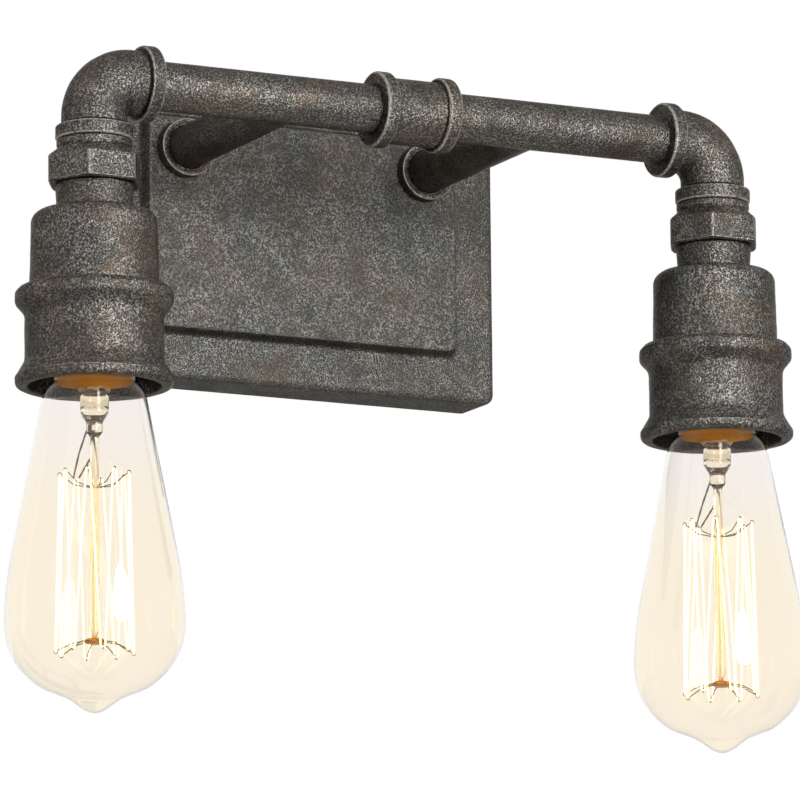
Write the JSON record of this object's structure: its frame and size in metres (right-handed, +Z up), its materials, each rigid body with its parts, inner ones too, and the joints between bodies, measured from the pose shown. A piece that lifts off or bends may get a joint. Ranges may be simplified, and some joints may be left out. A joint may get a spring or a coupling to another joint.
{
  "type": "industrial pipe wall light",
  "caption": "Wall light of pipe fittings: stepped backplate, arms, crossbar with banded coupling, elbows and banded cups over long pear-shaped filament bulbs.",
  "frame": {"origin": "centre of the backplate on the wall plane", "axes": "+X along the wall, +Y into the wall, +Z up"},
  "size_m": [0.317, 0.1473, 0.2593],
  "materials": {
    "aged_iron": "dark aged casting with worn silvery high spots",
    "aged_pipe": "dark aged pipe with silvery specks",
    "aged_iron_plate": "dark aged sheet with silvery specks",
    "zinc_steel": "zinc plated",
    "dark_screws": "blackened",
    "green_screw": "green plated",
    "bare_copper": "drawn copper",
    "wire_nut_plastic": "moulded",
    "grommet_plastic": "moulded",
    "black_insulation": "extruded",
    "white_insulation": "extruded",
    "porcelain": "glazed",
    "shell_brass": "rolled and plated",
    "cap_brass": "rolled",
    "black_glass": "fused black glass",
    "solder": "soldered",
    "bulb_glass": "clear with a warm tint",
    "stem_glass": "clear",
    "glowing_filament": "glowing wire",
    "support_wire": "drawn wire"
  },
  "bodies": {
    "fixture": {"arm_bushings": "grommet_plastic", "arm_flange_left": "aged_iron", "arm_flange_right": "aged_iron", "arm_locknuts": "zinc_steel", "arm_pipe_left": "aged_pipe", "arm_pipe_right": "aged_pipe", "arm_washers": "zinc_steel", "backplate": "aged_iron_plate", "centre_contact_left": "shell_brass", "centre_contact_right": "shell_brass", "coupling": "aged_iron", "crossbar_pipe_left": "aged_pipe", "crossbar_pipe_right": "aged_pipe", "cup_left": "aged_iron", "cup_right": "aged_iron", "elbow_left": "aged_iron", "elbow_right": "aged_iron", "ground_screw": "green_screw", "ground_wire": "bare_copper", "hex_bushing_left": "aged_iron", "hex_bushing_right": "aged_iron", "lamp_rod_left": "zinc_steel", "lamp_rod_right": "zinc_steel", "lampholder_left": "porcelain", "lampholder_right": "porcelain", "live_wires": "black_insulation", "mounting_strap": "zinc_steel", "neck_left": "aged_iron", "neck_right": "aged_iron", "neutral_wires": "white_insulation", "reducer_left": "aged_iron", "reducer_right": "aged_iron", "rod_locknuts": "zinc_steel", "screw_shell_left": "shell_brass", "screw_shell_right": "shell_brass", "side_screws": "dark_screws", "terminal_screws": "zinc_steel", "wire_nuts": "wire_nut_plastic", "yoke_left": "zinc_steel", "yoke_right": "zinc_steel"},
    "cap_left": {"bulb_cap_left": "cap_brass", "bulb_insulator_left": "black_glass", "bulb_contact_left": "solder"},
    "bulb_left": {"bulb_glass_left": "bulb_glass", "bulb_stem_left": "stem_glass", "bulb_filament_left": "glowing_filament", "bulb_supports_left": "support_wire", "bulb_leads_left": "support_wire"},
    "cap_right": {"bulb_cap_right": "cap_brass", "bulb_insulator_right": "black_glass", "bulb_contact_right": "solder"},
    "bulb_right": {"bulb_glass_right": "bulb_glass", "bulb_stem_right": "stem_glass", "bulb_filament_right": "glowing_filament", "bulb_supports_right": "support_wire", "bulb_leads_right": "support_wire"}
  },
  "joints": [
    {"name": "bulb_travel_left", "type": "slide", "parent": "fixture", "child": "cap_left", "axis": [0, 0, -1], "range_m": [0, 0.01815]},
    {"name": "bulb_turn_left", "type": "hinge", "parent": "cap_left", "child": "bulb_left", "pos_m": [-0.1265, -0.1153, -0.0798], "axis": [0, 0, -1], "range_deg": [0, 1800]},
    {"name": "bulb_travel_right", "type": "slide", "parent": "fixture", "child": "cap_right", "axis": [0, 0, -1], "range_m": [0, 0.01815]},
    {"name": "bulb_turn_right", "type": "hinge", "parent": "cap_right", "child": "bulb_right", "pos_m": [0.1265, -0.1153, -0.0798], "axis": [0, 0, -1], "range_deg": [0, 1800]}
  ],
  "couplings": [
    {"joint": "bulb_travel_left", "follows": "bulb_turn_left", "m_per_rad": 0.00057773},
    {"joint": "bulb_travel_right", "follows": "bulb_turn_right", "m_per_rad": 0.00057773}
  ]
}
